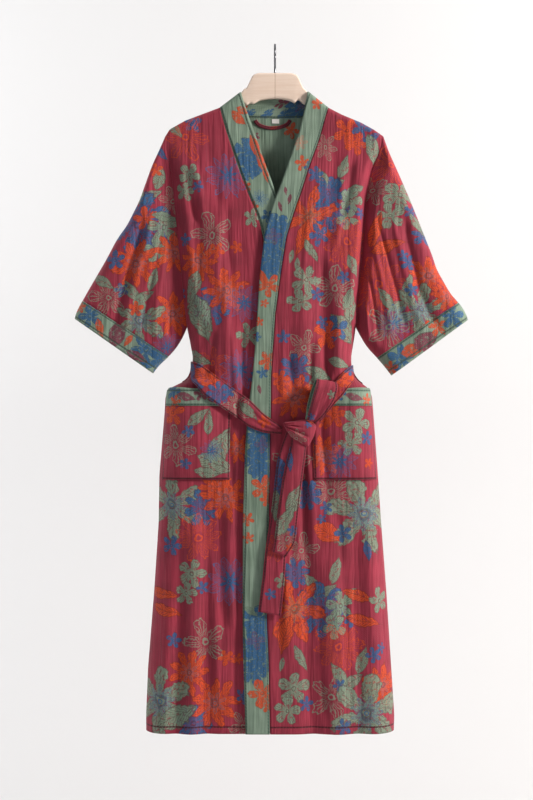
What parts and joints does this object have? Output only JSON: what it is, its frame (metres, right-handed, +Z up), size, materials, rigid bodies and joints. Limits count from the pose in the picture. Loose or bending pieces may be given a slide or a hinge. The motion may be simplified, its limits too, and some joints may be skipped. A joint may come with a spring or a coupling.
{
  "type": "kimono-style wrap robe on a clothes hanger",
  "caption": "Calf-length kimono-style wrap robe in rose floral jacquard with sage bands, tied with its own belt, on a wooden hanger.",
  "frame": {"origin": "inner top of the hanger's hook, where it hangs on a rail", "axes": "+Z up, -Y out of the garment's front, +X toward the wearer's left"},
  "size_m": [0.7543, 0.131, 1.315],
  "materials": {
    "rose_cloth": "satin",
    "sage_cloth": "satin",
    "pale_wood": "satin",
    "grey_steel": "satin",
    "white_tape": "matte"
  },
  "bodies": {
    "root": {"back": "rose_cloth", "left_front": "rose_cloth", "right_front": "rose_cloth", "left_sleeve": "rose_cloth", "right_sleeve": "rose_cloth", "left_pocket": "rose_cloth", "right_pocket": "rose_cloth", "belt_left": "rose_cloth", "belt_right": "rose_cloth", "belt_back": "rose_cloth", "belt_rear_tail": "rose_cloth", "belt_front_tail": "rose_cloth", "belt_loop": "rose_cloth", "belt_knot": "rose_cloth", "hang_loop": "rose_cloth", "left_front_band": "sage_cloth", "right_front_band": "sage_cloth", "back_neck_band": "sage_cloth", "left_cuff": "sage_cloth", "right_cuff": "sage_cloth", "left_pocket_band": "sage_cloth", "right_pocket_band": "sage_cloth", "neck_label": "white_tape", "hanger": "pale_wood", "hook": "grey_steel"}
  },
  "joints": []
}
